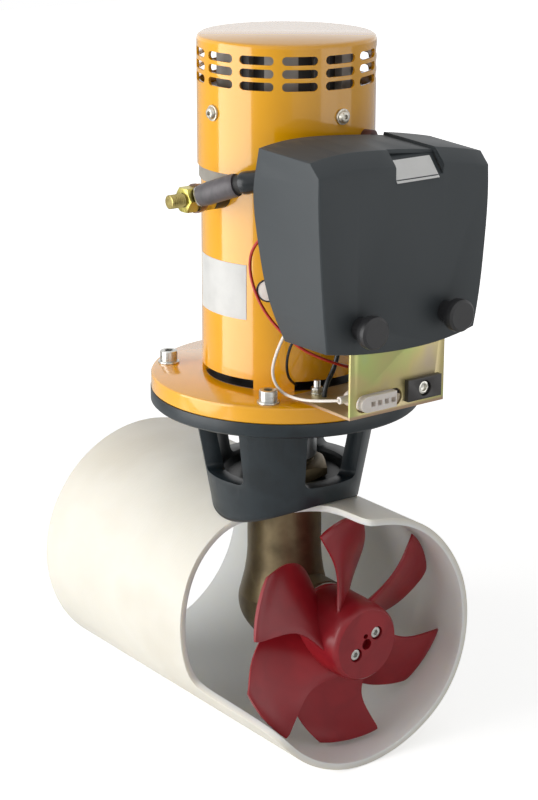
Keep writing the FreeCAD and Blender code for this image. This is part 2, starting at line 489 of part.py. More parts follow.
save("earth_lead", cable([(-18, -87, 256), (-13, -81, 241), (-11, -78, 224), (-17, -79, 208), (-25, -80, 199),
                          (-26, -80, 190.5)], 1.8))
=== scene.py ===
import json
import math

import bpy
from mathutils import Euler, Matrix, Vector

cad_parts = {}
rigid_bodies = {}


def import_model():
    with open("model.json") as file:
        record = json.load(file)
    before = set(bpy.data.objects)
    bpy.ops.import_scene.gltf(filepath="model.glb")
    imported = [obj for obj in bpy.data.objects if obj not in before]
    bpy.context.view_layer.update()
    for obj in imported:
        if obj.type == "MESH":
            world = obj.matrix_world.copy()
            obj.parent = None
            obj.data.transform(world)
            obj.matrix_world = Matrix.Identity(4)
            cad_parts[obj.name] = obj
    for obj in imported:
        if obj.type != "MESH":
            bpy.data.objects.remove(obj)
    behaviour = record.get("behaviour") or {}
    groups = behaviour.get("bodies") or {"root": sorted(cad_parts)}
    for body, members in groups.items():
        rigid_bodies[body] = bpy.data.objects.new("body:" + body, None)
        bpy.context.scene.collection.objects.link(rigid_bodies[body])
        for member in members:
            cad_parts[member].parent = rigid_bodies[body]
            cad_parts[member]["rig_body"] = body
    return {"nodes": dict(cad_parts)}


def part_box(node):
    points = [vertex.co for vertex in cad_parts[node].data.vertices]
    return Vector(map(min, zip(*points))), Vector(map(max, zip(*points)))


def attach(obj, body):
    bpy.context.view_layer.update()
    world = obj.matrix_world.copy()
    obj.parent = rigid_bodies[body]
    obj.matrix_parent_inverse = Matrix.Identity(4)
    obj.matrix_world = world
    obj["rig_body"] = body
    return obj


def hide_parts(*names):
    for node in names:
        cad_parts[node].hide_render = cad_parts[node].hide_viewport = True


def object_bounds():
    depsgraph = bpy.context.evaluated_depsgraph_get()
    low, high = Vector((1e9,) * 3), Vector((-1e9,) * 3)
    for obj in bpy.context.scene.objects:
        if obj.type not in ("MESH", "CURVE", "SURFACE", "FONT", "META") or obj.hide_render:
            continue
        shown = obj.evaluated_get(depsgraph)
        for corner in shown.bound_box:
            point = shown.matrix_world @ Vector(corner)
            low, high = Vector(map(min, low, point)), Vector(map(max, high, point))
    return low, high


# %% [markdown]
# # A bow thruster, dressed for its portrait
# The CAD model is the frame of this scene: every part is already in its place, in metres, with the
# origin where the tunnel and the gear leg cross. This notebook gives each part its surface and adds
# the small things that a solid model leaves plain: knurls, threads, wires, sleeves and labels.

# %% Load the frame
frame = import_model()
cad_low, cad_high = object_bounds()
print("CAD box in mm:", [round(1000 * v, 1) for v in (*cad_low, *cad_high)])
MM = 0.001

# %% [markdown]
# ## Camera
# A thruster is looked at from the front left and a little above, so that the open end of the tunnel,
# the relay box and the terminal on the motor all show. A long lens keeps the upright motor upright.

# %% The camera
CAMERA_AT = (-0.9082, -1.1921, 0.6363)
DOWN, TURN, ROLL = 17.524, -37.151, 0.221  # degrees
aim = Euler((math.radians(90 - DOWN), 0, math.radians(TURN))).to_matrix()
aim = aim @ Matrix.Rotation(math.radians(ROLL), 3, "Z")
bpy.ops.object.camera_add(location=CAMERA_AT, rotation=aim.to_euler())
camera = bpy.context.active_object
camera.data.lens = 94.43
camera.data.sensor_width = 36
camera.data.shift_x, camera.data.shift_y = -0.0133, -0.0003
bpy.context.scene.camera = camera
print("camera at", [round(v, 3) for v in camera.location])

# %% [markdown]
# ## Leads
# A lead is a smooth NURBS line with a round section. Its points are the corners that the wire is
# pulled towards, so it bends in easy arcs, as insulated copper does. The line is sampled once
# without thickness, because the sleeves on the cable have to follow it.


# %% A lead between two terminals
def lead(name, thick, route):
    """Draws a lead through its route, in mm, and gives it with its sampled line and its length."""
    data = bpy.data.curves.new(name, "CURVE")
    data.dimensions = "3D"
    data.resolution_u = 10
    spline = data.splines.new("NURBS")
    spline.points.add(len(route) - 1)
    for point, place in zip(spline.points, route):
        point.co = [v * MM for v in place] + [1]
        point.radius = thick * MM / 2
    spline.order_u = 3
    spline.use_endpoint_u = True
    wire = bpy.data.objects.new(name + "_run", data)
    bpy.context.scene.collection.objects.link(wire)
    sampled = bpy.data.meshes.new_from_object(wire)
    line = [v.co.copy() for v in sampled.vertices]
    length = sum((b - a).length for a, b in zip(line, line[1:]))
    data.bevel_depth = 1.0
    data.bevel_resolution = 5
    data.use_fill_caps = True
    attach(wire, "frame")
    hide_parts(name)
    print("%s: %.0f mm long" % (name, length / MM))
    return wire, line, length


CABLE = [(-79.5, -30, 338), (-75, -45, 344), (-63.5, -59, 347.5), (-54, -71, 347.5),
         (-44.5, -80, 344), (-37.5, -90, 339)]
LEAD = [(26.07, -64.53, 352), (26.07, -64.53, 343), (26.07, -68.53, 334.5), (27.07, -75.53, 329),
        (29.07, -84, 328.5)]
RED = [(-45.4, -103, 306), (-57, -89, 311), (-66, -66, 315), (-66, -41, 290), (-63.5, -53, 256),
       (-51, -79, 231), (-29, -93, 219), (-4, -92, 210), (14, -95, 204), (22, -108, 201.5)]
WHITE = [(-47, -93, 262), (-56, -78, 247), (-57, -66, 228), (-56, -57, 208), (-52.5, -62, 195),
         (-52, -80, 194), (-51, -101, 197), (-43, -118, 200.5)]
BLACK = [(-38, -86, 258), (-47, -79, 244), (-50, -70, 228), (-48, -64, 212), (-41, -60, 199),
         (-27, -51, 192)]
EARTH = [(-18, -87, 256), (-13, -81, 241), (-11, -78, 224), (-17, -79, 208), (-25, -80, 199),
         (-26, -80, 190.5)]
CORDS = (("power_cable", 12.4, CABLE), ("motor_lead", 5.8, LEAD), ("wire_red", 2.2, RED),
         ("wire_white", 2.2, WHITE), ("wire_black", 2.0, BLACK), ("earth_lead", 3.6, EARTH))
leads = {name: lead(name, thick, route) for name, thick, route in CORDS}

# %% [markdown]
# The cable's lug is crimped, and a heat-shrink sleeve covers the crimp. Past the sleeve the sheath
# swells a little where it was stretched over the strands. Both are tubes along the cable's own line,
# with a radius that changes from point to point.


# %% Sleeves on the power cable
def sleeve(name, points, radii):
    """A closed tube along the points, in metres, with a radius in mm at each of them."""
    data = bpy.data.curves.new(name, "CURVE")
    data.dimensions = "3D"
    data.bevel_depth = 1.0
    data.bevel_resolution = 8
    data.use_fill_caps = True
    spline = data.splines.new("POLY")
    spline.points.add(len(points) - 1)
    for point, place, radius in zip(spline.points, points, radii):
        point.co = list(place) + [1]
        point.radius = radius * MM
    piece = bpy.data.objects.new(name, data)
    bpy.context.scene.collection.objects.link(piece)
    bpy.ops.object.select_all(action="DESELECT")
    piece.select_set(True)
    bpy.context.view_layer.objects.active = piece
    bpy.ops.object.convert(target="MESH")
    bpy.ops.object.shade_smooth_by_angle(angle=math.radians(40))
    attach(bpy.context.active_object, "frame")
    return bpy.context.active_object


SLEEVE_END, SHEATH_START, SHEATH_END = -44.5, -46, -78  # mm along Y
line = leads["power_cable"][1]
near = [v for v in line if v.y > SLEEVE_END * MM]
far = [v for v in line if SHEATH_END * MM < v.y < SHEATH_START * MM]
crimp = [Vector((-84.4, -13.8, 331.5)) * MM, Vector((-82.4, -20.3, 334.1)) * MM]
tight = [7.6, 8.1] + [8.2] * (len(near) - 2) + [8.3, 7.9]
slim = [7.4] + [8.1] * 3 + [7.9 - 1.2 * k / len(far) for k in range(len(far) - 4)]
shrink = sleeve("cable_shrink_sleeve", crimp + near, tight)
swell = sleeve("cable_sheath_end", far, slim)
collar = sleeve("cable_sleeve_edge", [near[-1], far[0]], [6.6, 6.6])
for name, thick, route in CORDS:
    wire, line, length = leads[name]

# %% [markdown]
# ## Finishes
# Colours are written as they would be picked on a screen, so one function turns them into the linear
# light that the renderer works in. A second one adds a node with its settings and its links.


# %% Two helpers for the finishes
def light_of(code):
    parts = [int(code[i:i + 2], 16) / 255 for i in (1, 3, 5)]
    return [p / 12.92 if p <= 0.04045 else ((p + 0.055) / 1.055) ** 2.4 for p in parts] + [1]


def put(finish, kind, inputs, **settings):
    tree = finish.node_tree
    made = tree.nodes.new("ShaderNode" + kind)
    for name, value in settings.items():
        setattr(made, name, value)
    for name, value in inputs.items():
        if isinstance(value, bpy.types.NodeSocket):
            tree.links.new(value, made.inputs[name])
        else:
            made.inputs[name].default_value = value
    return made


# %% [markdown]
# Every finish here is a base shader, a slow drift between two or three tones, and a fine bump that
# breaks the reflections. The sizes are real ones in millimetres: the grain of the moulding, the sand
# of the casting, the width of a strand.


# %% A finish with tones and grain
def shader_of(made):
    return made.node_tree.nodes["Principled BSDF"]


def tune(made, settings):
    for socket, value in settings.items():
        shader_of(made).inputs[socket].default_value = value


def first(made, kind):
    return next(node for node in made.node_tree.nodes if node.type == kind)


def finish(name, tones, rough, metal=0.0, drift=40.0, grain=1.0, height=0.02, stretch=(1, 1, 1)):
    """tones drift over that many mm; the surface has bumps of that grain and height in mm."""
    made = bpy.data.materials.new(name)
    made.use_nodes = True
    shader = shader_of(made)
    shader.inputs["Metallic"].default_value = metal
    if not metal:
        shader.inputs["IOR"].default_value = 1.5
    place = put(made, "TexCoord", {}).outputs["Object"]
    turned = put(made, "Mapping", {"Vector": place, "Scale": stretch}).outputs["Vector"]
    slow = put(made, "TexNoise", {"Vector": turned, "Scale": 1 / (drift * MM), "Detail": 3.0})
    ramp = put(made, "ValToRGB", {"Fac": slow.outputs["Fac"]})
    stops = ramp.color_ramp.elements
    while len(stops) < len(tones):
        stops.new(0.5)
    for k, tone in enumerate(tones):  # the noise seldom leaves the range from 0.32 to 0.68
        stops[k].position = 0.32 + 0.36 * k / max(1, len(tones) - 1)
        stops[k].color = light_of(tone)
    made.node_tree.links.new(ramp.outputs["Color"], shader.inputs["Base Color"])
    fine = put(made, "TexNoise", {"Vector": turned, "Scale": 1 / (grain * MM), "Detail": 4.0})
    wear = put(made, "MapRange", {"Value": slow.outputs["Fac"], "To Min": rough * 0.85,
                                  "To Max": rough * 1.2})
    made.node_tree.links.new(wear.outputs["Result"], shader.inputs["Roughness"])
    bump = put(made, "Bump", {"Height": fine.outputs["Fac"], "Distance": height * MM,
                              "Strength": 1.0})
    made.node_tree.links.new(bump.outputs["Normal"], shader.inputs["Normal"])
    return made


# %% [markdown]
# ### Enamel and plastics
# The motor is sprayed with a stoving enamel and baked. The paint flows out before it sets, so it is
# smooth under a clear gloss: a coat layer over a duller base gives that. Plastics copy their mould,
# spark-eroded and matt on the relay box, finer on knobs and bracket. Glass fibre in the nylon shows
# as a slight mottle.

# %% Enamel and plastics
amber_enamel = finish("amber stoving enamel", ["#F0A808", "#F3AE10"], 0.18, drift=60, grain=3,
                      height=0.004)
tune(amber_enamel, {"Coat Weight": 0.8, "Specular IOR Level": 0.35, "Coat Roughness": 0.04})
box_abs = finish("spark-textured ABS, anthracite", ["#3A3F42", "#3E4346"], 0.52, drift=50,
                 grain=0.7, height=0.05)
tune(box_abs, {"Specular IOR Level": 0.35})
knob_nylon = finish("moulded nylon, black", ["#202022", "#28282A"], 0.45, drift=12, grain=0.6,
                    height=0.03)
bracket_nylon = finish("glass-filled nylon, black", ["#1A2226", "#222B30", "#1C2428"], 0.36,
                       drift=26, grain=1.2, height=0.03)
tune(bracket_nylon, {"Specular IOR Level": 0.4})
propeller_nylon = finish("glass-filled nylon, red", ["#931822", "#891620", "#9A1D26"], 0.32,
                         drift=30, grain=1.4, height=0.02)
tune(propeller_nylon, {"Specular IOR Level": 0.4})
black_abs = finish("moulded ABS, black", ["#2C2A2A", "#343130"], 0.4, drift=10, grain=0.6)
# Unfilled nylon lets a little light in, which softens the edges of socket and plug.
connector_nylon = finish("nylon, natural", ["#E3DAD2", "#EDE6DF"], 0.38, drift=9, grain=0.8)
tune(connector_nylon, {"Subsurface Weight": 0.25, "Subsurface Radius": (0.003, 0.0025, 0.002)})
relay_bakelite = finish("phenolic, black", ["#1B1A1A", "#262322"], 0.4, drift=14, grain=0.8,
                        height=0.03)

# %% [markdown]
# ### Rubber, sheaths and labels
# Rubber is moulded or cut and stays matt. PVC is extruded hot over the wire, which leaves a soft
# shine along it, while a heat-shrink sleeve wrinkles finely as it closes. Vinyl labels have a thin,
# even sheen, and the one on the motor has yellowed and dulled.

# %% Rubber, sheaths and labels
rubber = finish("neoprene, grey", ["#8B877F", "#9A958C"], 0.6, drift=12, grain=0.9, height=0.04)
black_rubber = finish("nitrile rubber, black", ["#161514", "#211F1E"], 0.6, drift=12, grain=0.9,
                      height=0.04)
boot_pvc = finish("soft PVC, oxblood", ["#3A1512", "#4A1D18"], 0.5, drift=8, grain=0.9, height=0.04)
sleeve_shrink = finish("heat-shrink sleeve, charcoal", ["#4A4647", "#5A5558", "#484648"], 0.46,
                       drift=9, grain=1.2, height=0.08, stretch=(1, 1, 0.4))
cable_pvc = finish("PVC sheath, black", ["#191D20", "#202528"], 0.25, drift=14, grain=1.5,
                   height=0.03)
tune(cable_pvc, {"Specular IOR Level": 0.4})
red_pvc = finish("PVC sheath, red", ["#B4200F", "#C02A18"], 0.32, drift=9, grain=0.8, height=0.01)
white_pvc = finish("PVC sheath, white", ["#EFE6DA", "#F6EFE6"], 0.35, drift=9, grain=0.8,
                   height=0.01)
label_vinyl = finish("vinyl label, aged white", ["#C9C9C6", "#D6D6D3"], 0.42, drift=18, grain=1.5,
                     height=0.01)
white_vinyl = finish("vinyl label, white", ["#E9E9E7", "#F0F0EE"], 0.35, drift=15, grain=1.5,
                     height=0.01)
spider_urethane = finish("cast urethane, red", ["#9C2A20", "#B03528"], 0.35, drift=8, grain=0.9)

# %% [markdown]
# ### Metals
# A metal's colour is in its reflection, so what tells one from another is that colour and how it was
# worked. Turning and grinding leave fine rings, drawn here by squeezing the grain along Z. Casting
# leaves a coarse skin. Zinc takes a yellow or bronze film from its passivating bath.

# %% Turned, ground and cast metals
stainless = finish("stainless steel, turned", ["#B9B9B5", "#CFCFCB"], 0.28, metal=1, drift=5,
                   grain=0.5, stretch=(1, 1, 4))
worn_steel = finish("stainless steel, weathered", ["#8E8472", "#C9C6BC", "#A79F90"], 0.4, metal=1,
                    drift=3, grain=0.6, height=0.04)
bearing_steel = finish("bearing steel, ground", ["#A8AAAE", "#BABCC0"], 0.22, metal=1, drift=9,
                       grain=0.5, height=0.01, stretch=(1, 1, 5))
gear_steel = finish("case-hardened steel", ["#54565A", "#6A6C70"], 0.35, metal=1, drift=8,
                    grain=0.6, height=0.03)
brass = finish("brass, turned", ["#B08F4E", "#C2A464"], 0.25, metal=1, drift=9, grain=0.5,
               height=0.01, stretch=(1, 1, 5))
cast_aluminium = finish("die-cast aluminium", ["#B4B6B8", "#C6C8CA"], 0.42, metal=1, drift=14,
                        grain=1.6, height=0.06)
bronze = finish("sand-cast bronze", ["#6B5F48", "#7C6E54", "#625742"], 0.42, metal=0.85, drift=28,
                grain=1.1, height=0.12)

# %% Plated and sprayed metals
yellow_zinc = finish("zinc plate, yellow passivated", ["#A59A3E", "#C6BC6A", "#9C8F4C"], 0.3,
                     metal=1, drift=6, grain=0.6)
thread_zinc = finish("zinc plate, yellow passivated, on a rolled thread", ["#8E8050", "#B3A56A"],
                     0.34, metal=1, drift=4, grain=0.5)
washer_zinc = finish("zinc plate, bronze passivated", ["#6E5A55", "#8C7A72"], 0.35, metal=1,
                     drift=5, grain=0.5)
screen_grey = finish("zinc-sprayed steel, grey", ["#8E8D8A", "#A2A19E"], 0.5, metal=0.4, drift=12,
                     grain=0.8, height=0.04)
tinned = finish("tinned copper", ["#B9B7B0", "#C9C6BE"], 0.3, metal=1, drift=7, grain=0.7)
nickel = finish("nickel plate", ["#C6C4BC", "#D8D6CE"], 0.15, metal=1, drift=5, grain=0.5,
                height=0.01)

# %% Inside the motor: copper, ferrite and carbon
copper = finish("copper, tinned in places", ["#B0714A", "#C4875E"], 0.3, metal=1, drift=9,
                grain=0.7)
ferrite = finish("ferrite", ["#3A3A3C", "#444446"], 0.7, drift=12, grain=1.0, height=0.06)
carbon = finish("copper graphite", ["#2B2826", "#38322E"], 0.6, drift=5, grain=0.6, height=0.04)
print(len(bpy.data.materials), "finishes so far")

# %% [markdown]
# ### Passivated sheet
# The yellow film on zinc is thinner than a wavelength here and there, so a plate is never one colour:
# it runs from straw through green to a faint violet in soft clouds a few centimetres across.

# %% Passivated sheet
plate_zinc = finish("zinc sheet, yellow passivated",
                    ["#B9A98E", "#C3B57C", "#B4C176", "#A3BC92", "#B59DA0"], 0.34, metal=0.55,
                    drift=75, grain=1.0, height=0.012)
heights = put(plate_zinc, "SeparateXYZ", {"Vector": first(plate_zinc, "TEX_COORD").outputs["Object"]})
foot = put(plate_zinc, "MapRange", {"Value": heights.outputs["Z"], "From Min": 0.1900,
                                    "From Max": 0.1915})
film = put(plate_zinc, "Mix", {"Factor": foot.outputs["Result"], 6: light_of("#B79A7C"),
                               7: first(plate_zinc, "VALTORGB").outputs["Color"]},
           data_type="RGBA")
plate_zinc.node_tree.links.new(film.outputs[2], shader_of(plate_zinc).inputs["Base Color"])
print("the plate's foot is plain straw below 190 mm")

# %% [markdown]
# ### Glass-fibre laminate
# The tunnel is wound on a polished mandrel. Inside it copies the mandrel, smooth and a little glossy.
# Outside the resin has run between the strands, which leaves fine ridges around the tube. The
# distance from the tunnel's axis tells the two apart, and the cut edge shows the plies between them.

# %% Glass-fibre laminate
laminate = finish("glass-fibre laminate", ["#E2DED2", "#E6E2D7", "#DFDACD"], 0.36, drift=90,
                  grain=1.6, height=0.05)
tree = laminate.node_tree
place = first(laminate, "TEX_COORD").outputs["Object"]
split = put(laminate, "SeparateXYZ", {"Vector": place})
square_x, square_z = (put(laminate, "Math", {0: split.outputs[way], 1: split.outputs[way]},
                          operation="MULTIPLY") for way in "XZ")
both = put(laminate, "Math", {0: square_x.outputs[0], 1: square_z.outputs[0]}, operation="ADD")
radius = put(laminate, "Math", {0: both.outputs[0]}, operation="SQRT")
outside = put(laminate, "MapRange", {"Value": radius.outputs[0], "From Min": 0.0930,
                                     "From Max": 0.0972})

# %% Strands outside, gel coat inside
squashed = put(laminate, "Mapping", {"Vector": place, "Scale": (0.25, 1.6, 0.25)})
strands = put(laminate, "TexNoise", {"Vector": squashed.outputs["Vector"], "Scale": 420.0,
                                     "Detail": 5.0})
ridges = put(laminate, "Math", {0: strands.outputs["Fac"], 1: outside.outputs["Result"]},
             operation="MULTIPLY")
relief = put(laminate, "Bump", {"Height": ridges.outputs[0], "Distance": 0.25 * MM,
                                "Strength": 0.8})
gel = put(laminate, "Mix", {"Factor": outside.outputs["Result"], 6: light_of("#ECEDEA"),
                            7: first(laminate, "VALTORGB").outputs["Color"]}, data_type="RGBA")
tree.links.new(gel.outputs[2], shader_of(laminate).inputs["Base Color"])
tree.links.new(relief.outputs["Normal"], shader_of(laminate).inputs["Normal"])
tune(laminate, {"Subsurface Weight": 0.5, "Subsurface Scale": 1.0,
                "Subsurface Radius": (0.006, 0.0055, 0.0045)})

# %% [markdown]
# ## Working on a mesh
# An operator acts on all that is selected, so each step starts from an empty selection. Faces are
# picked in code, by where they are and which way they look, as they would be picked by eye.


# %% Select, pick, merge and round
def only(piece):
    bpy.ops.object.select_all(action="DESELECT")
    piece.select_set(True)
    bpy.context.view_layer.objects.active = piece


def pick(piece, wanted):
    """Opens the piece for editing with only the wanted faces selected."""
    only(piece)
    mesh = piece.data
    for group in (mesh.vertices, mesh.edges, mesh.polygons):
        group.foreach_set("select", [False] * len(group))
    for side in mesh.polygons:
        side.select = wanted(side)
    bpy.context.tool_settings.mesh_select_mode = (False, False, True)
    bpy.ops.object.mode_set(mode="EDIT")


def close_edit():
    bpy.ops.object.mode_set(mode="OBJECT")


def modify(piece, kind, **settings):
    only(piece)
    bpy.ops.object.modifier_add(type=kind)
    tool = piece.modifiers[-1]
    for name, value in settings.items():
        setattr(tool, name, value)
    bpy.ops.object.modifier_apply(modifier=tool.name)


def rounded(piece, radius):
    """Rounds the edges sharper than 32 degrees, with a radius in mm."""
    modify(piece, "BEVEL", width=radius * MM, segments=2, limit_method="ANGLE",
           angle_limit=math.radians(32), harden_normals=False)


def smooth(piece, angle=35):
    only(piece)
    bpy.ops.object.shade_smooth_by_angle(angle=math.radians(angle))


def name_it(piece, name, coat, body="frame", stands_for=()):
    """Freezes the piece's place into its mesh, names and paints it, and fixes it to its body."""
    only(piece)
    bpy.ops.object.transform_apply(location=True, rotation=True, scale=True)
    piece.name = piece.data.name = name
    piece.data.materials.clear()
    piece.data.materials.append(coat)
    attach(piece, body)
    if stands_for:
        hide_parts(*stands_for)
    return piece


# %% [markdown]
# ## Skins
# A CAD node comes in as loose triangles. A copy of it with its corners merged can be shaded smoothly
# across a curve, and its edges can be rounded a little, which is what catches the light on a real
# moulding or casting. The copy then stands for the node.


# %% Skin of a CAD node
def skin(node, coat, radius):
    """A smooth copy of a node, with its edges rounded by a radius in mm, that stands for it."""
    source = frame["nodes"][node]
    piece = bpy.data.objects.new(node + "_skin", source.data.copy())
    bpy.context.scene.collection.objects.link(piece)
    only(piece)
    bpy.ops.mesh.customdata_custom_splitnormals_clear()
    bpy.ops.object.mode_set(mode="EDIT")
    bpy.ops.mesh.select_all(action="SELECT")
    bpy.ops.mesh.remove_doubles(threshold=0.000004)
    if radius:
        bpy.ops.mesh.dissolve_limited(angle_limit=math.radians(0.6))
    close_edit()
    if radius:
        rounded(piece, radius)
    smooth(piece)
    return name_it(piece, node + "_skin", coat, source["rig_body"], stands_for=[node])


def turned_shading(piece, axis=2):
    """Shades the walls of a turned surface with the normal of the true circle round that axis."""
    mesh = piece.data
    normals = [corner.vector.copy() for corner in mesh.corner_normals]
    for side in mesh.polygons:
        if abs(side.normal[axis]) < 0.03:
            for corner in side.loop_indices:
                out = mesh.vertices[mesh.loops[corner].vertex_index].co.copy()
                out[axis] = 0
                out.normalize()
                facing = side.normal.dot(out)
                if abs(facing) > 0.98:
                    normals[corner] = out * math.copysign(1, facing)
    mesh.normals_split_custom_set(normals)


SKINS = {"tunnel": (laminate, 0.5), "mounting_bracket": (bracket_nylon, 0.9),
         "motor_flange": (amber_enamel, 0), "motor_housing": (amber_enamel, 0.3),
         "motor_cover": (amber_enamel, 0.25), "housing_band": (rubber, 0.2),
         "gear_leg": (bronze, 0), "pod_cap": (nickel, 0.3), "propeller": (propeller_nylon, 0),
         "propeller_screws": (stainless, 0.1), "propeller_insert": (brass, 0),
         "control_plate": (plate_zinc, 0.35), "control_box_cover": (box_abs, 1.1),
         "knob_left": (knob_nylon, 0), "knob_right": (knob_nylon, 0), "cable_lugs": (tinned, 0.2),
         "stud_nuts": (yellow_zinc, 0), "terminal_boot": (boot_pvc, 0.8),
         "plate_screws": (stainless, 0.1), "fuse_holder": (black_abs, 0.25), "fuse": (nickel, 0.2),
         "stud_insulators": (relay_bakelite, 0.3), "contactors": (relay_bakelite, 0.5),
         "contactor_studs": (brass, 0.2), "commutator_end_frame": (cast_aluminium, 0.3),
         "drive_end_frame": (cast_aluminium, 0.3), "leg_nut": (bronze, 0),
         "upper_coupling": (cast_aluminium, 0.3), "lower_coupling": (cast_aluminium, 0.3),
         "coupling_spider": (spider_urethane, 0.2), "tunnel_gasket": (black_rubber, 0),
         "cover_screws": (worn_steel, 0.2), "control_connector": (connector_nylon, 0.45),
         "housing_plug": (connector_nylon, 0.6)}
skins = {node: skin(node, coat, radius) for node, (coat, radius) in SKINS.items()}
for node in ("motor_cover", "motor_housing", "motor_flange", "housing_band"):
    turned_shading(skins[node])
turned_shading(skins["tunnel"], 1)
print(len(skins), "skins")

# %% [markdown]
# ## Inner parts and sheaths
# Shafts, gears, bearings and windings are hidden or nearly so. Their own meshes are good enough, and
# only get the finish of what they are made of. The leads and sleeves made above get theirs too.

# %% Nodes that keep their own mesh
PLAIN = {"cover_studs": stainless, "motor_shaft": bearing_steel, "drive_shaft": bearing_steel,
         "propeller_shaft": stainless, "propeller_drive_pin": stainless,
         "motor_bearings": bearing_steel, "drive_bearings": bearing_steel,
         "propeller_bearings": bearing_steel, "shaft_seals": black_rubber, "pinion": gear_steel,
         "crown_gear": gear_steel, "field_magnets": ferrite, "armature_core": gear_steel,
         "armature_windings": copper, "commutator": copper, "brushes": carbon,
         "brush_holder": relay_bakelite}
for node, coat in PLAIN.items():
    mesh = frame["nodes"][node].data
    mesh.materials.clear()
    mesh.materials.append(coat)
print(len(PLAIN), "nodes with their own mesh")

# %% Sheaths
for piece, coat in ((shrink, sleeve_shrink), (swell, cable_pvc), (collar, black_rubber)):
    piece.data.materials.append(coat)
for name, coat in (("power_cable", cable_pvc), ("motor_lead", cable_pvc), ("wire_red", red_pvc),
                   ("wire_white", white_pvc), ("wire_black", cable_pvc), ("earth_lead", cable_pvc)):
    leads[name][0].data.materials.append(coat)

# %% [markdown]
# ## Cap screws on the flange
# Each M8 screw has a turned head with a knurled rim for the fingers, a hexagon socket and a washer.
# One is modelled at the origin: a cylinder whose rim is bevelled, with every other side face pressed
# in for the knurl and the socket cut with a boolean. Then it is copied to the four holes.


# %% Cut, join, repeat, and count faces round a rod
def cut_with(piece, tool):
    modify(piece, "BOOLEAN", object=tool, operation="DIFFERENCE", solver="EXACT")
    bpy.data.objects.remove(tool)


def joined(pieces):
    only(pieces[0])
    for piece in pieces:
        piece.select_set(True)
    bpy.ops.object.join()
    return pieces[0]


def repeat(piece, places):
    """Copies a piece to each place, a matrix, every copy with its own mesh, and joins the copies."""
    copies = []
    for place in places:
        copy = piece.copy()
        copy.data = piece.data.copy()
        copy.matrix_world = place @ piece.matrix_world
        bpy.context.scene.collection.objects.link(copy)
        copies.append(copy)
    bpy.data.objects.remove(piece)
    return joined(copies)


def rod(sides, radius, low, high):
    """A cylinder along Z from low to high, in mm."""
    bpy.ops.mesh.primitive_cylinder_add(vertices=sides, radius=radius * MM, depth=(high - low) * MM,
                                        location=(0, 0, (low + high) / 2 * MM))
    only(bpy.context.active_object)
    bpy.ops.object.transform_apply(location=True, rotation=True, scale=True)
    return bpy.context.active_object


def every_other(sides):
    """Tells every other side face of a rod that has that many."""
    def wanted(side):
        step = math.atan2(side.center.y, side.center.x) * (sides / 2) / math.pi - 0.5
        return abs(side.normal.z) < 0.1 and round(step) % 2 == 0
    return wanted


# %% Four knurled cap screws
BOLT_CIRCLE, KNURL = 88, 64  # mm in radius, faces round a head
flange_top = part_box("motor_flange")[1].z / MM
head = rod(KNURL, 6.5, 1.6, 9.6)
pick(head, lambda side: side.normal.z > 0.9)
bpy.ops.mesh.bevel(offset=0.6 * MM, segments=3, affect="EDGES")
close_edit()
pick(head, every_other(KNURL))
bpy.ops.mesh.inset(thickness=0.07 * MM, depth=-0.28 * MM, use_individual=True)
close_edit()
cut_with(head, rod(6, 3.46, 5.2, 12))
plain_washer = rod(48, 8, 0, 1.6)
rounded(plain_washer, 0.3)
screw = joined([head, plain_washer, rod(32, 4, -24, 0.5)])
smooth(screw, 30)
places = []
for turn in (math.radians(45 + 90 * k) for k in range(4)):
    at = (BOLT_CIRCLE * MM * math.cos(turn), BOLT_CIRCLE * MM * math.sin(turn), flange_top * MM)
    places.append(Matrix.Translation(at) @ Matrix.Rotation(turn * 1.7, 4, "Z"))
screws = repeat(screw, places)
name_it(screws, "flange_cap_screws_knurled", stainless,
        stands_for=["flange_cap_screws"])
print("cap screws:", len(screws.data.polygons), "faces")

# %% [markdown]
# ## Terminal stud
# The stud is rolled steel. At this size a thread is a row of grooves one pitch apart, so the end face
# of a rod is extruded half a pitch at a time, narrow and wide in turn.


# %% The threaded studs
def threaded(low, high, radius=5.0, pitch=1.5):
    """A threaded rod along Z, in mm."""
    bolt = rod(48, radius, low, low + 1)
    pick(bolt, lambda side: side.normal.z > 0.9)
    narrow = (radius - 0.55 * pitch) / radius
    for k in range(int((high - low - 1.6) / pitch)):
        for size in (narrow, 1 / narrow):
            bpy.ops.mesh.extrude_region_move(TRANSFORM_OT_translate={"value": (0, 0, pitch / 2 * MM)})
            bpy.ops.transform.resize(value=(size, size, 1))
    bpy.ops.mesh.extrude_region_move(TRANSFORM_OT_translate={"value": (0, 0, 0.5 * MM)})
    bpy.ops.transform.resize(value=(0.84, 0.84, 1))
    close_edit()
    smooth(bolt, 25)
    return bolt


STUD_Z = 328 * MM
outer_stud = threaded(56.6, 106.2)
outer_stud.matrix_world = (Matrix.Translation((0, -5 * MM, STUD_Z))
                           @ Matrix.Rotation(math.radians(-90), 4, "Y"))
inner_stud = threaded(56.6, 75.8)
inner_stud.matrix_world = (Matrix.Translation((0, 0, STUD_Z))
                           @ Matrix.Rotation(math.radians(90), 4, "X"))
name_it(joined([outer_stud, inner_stud]), "power_studs_threaded", thread_zinc,
        stands_for=["power_studs"])

# %% [markdown]
# ## Roof of the relay cover
# A shallow channel runs out over the front edge of the roof. Its sloping floor carries a white plate
# that is left blank. Floor and plate are blocks, turned to the slope, with a pressed rim on the plate.


# %% The channel's floor and its plate
SLOPE = math.radians(50)


def sloping(size, place):
    """A block of that size in mm, centred at a place in mm, turned to the slope of the channel."""
    bpy.ops.mesh.primitive_cube_add(size=1, location=[v * MM for v in place], rotation=(SLOPE, 0, 0))
    made = bpy.context.active_object
    made.scale = [v * MM for v in size]
    only(made)
    bpy.ops.object.transform_apply(location=False, rotation=False, scale=True)
    return made


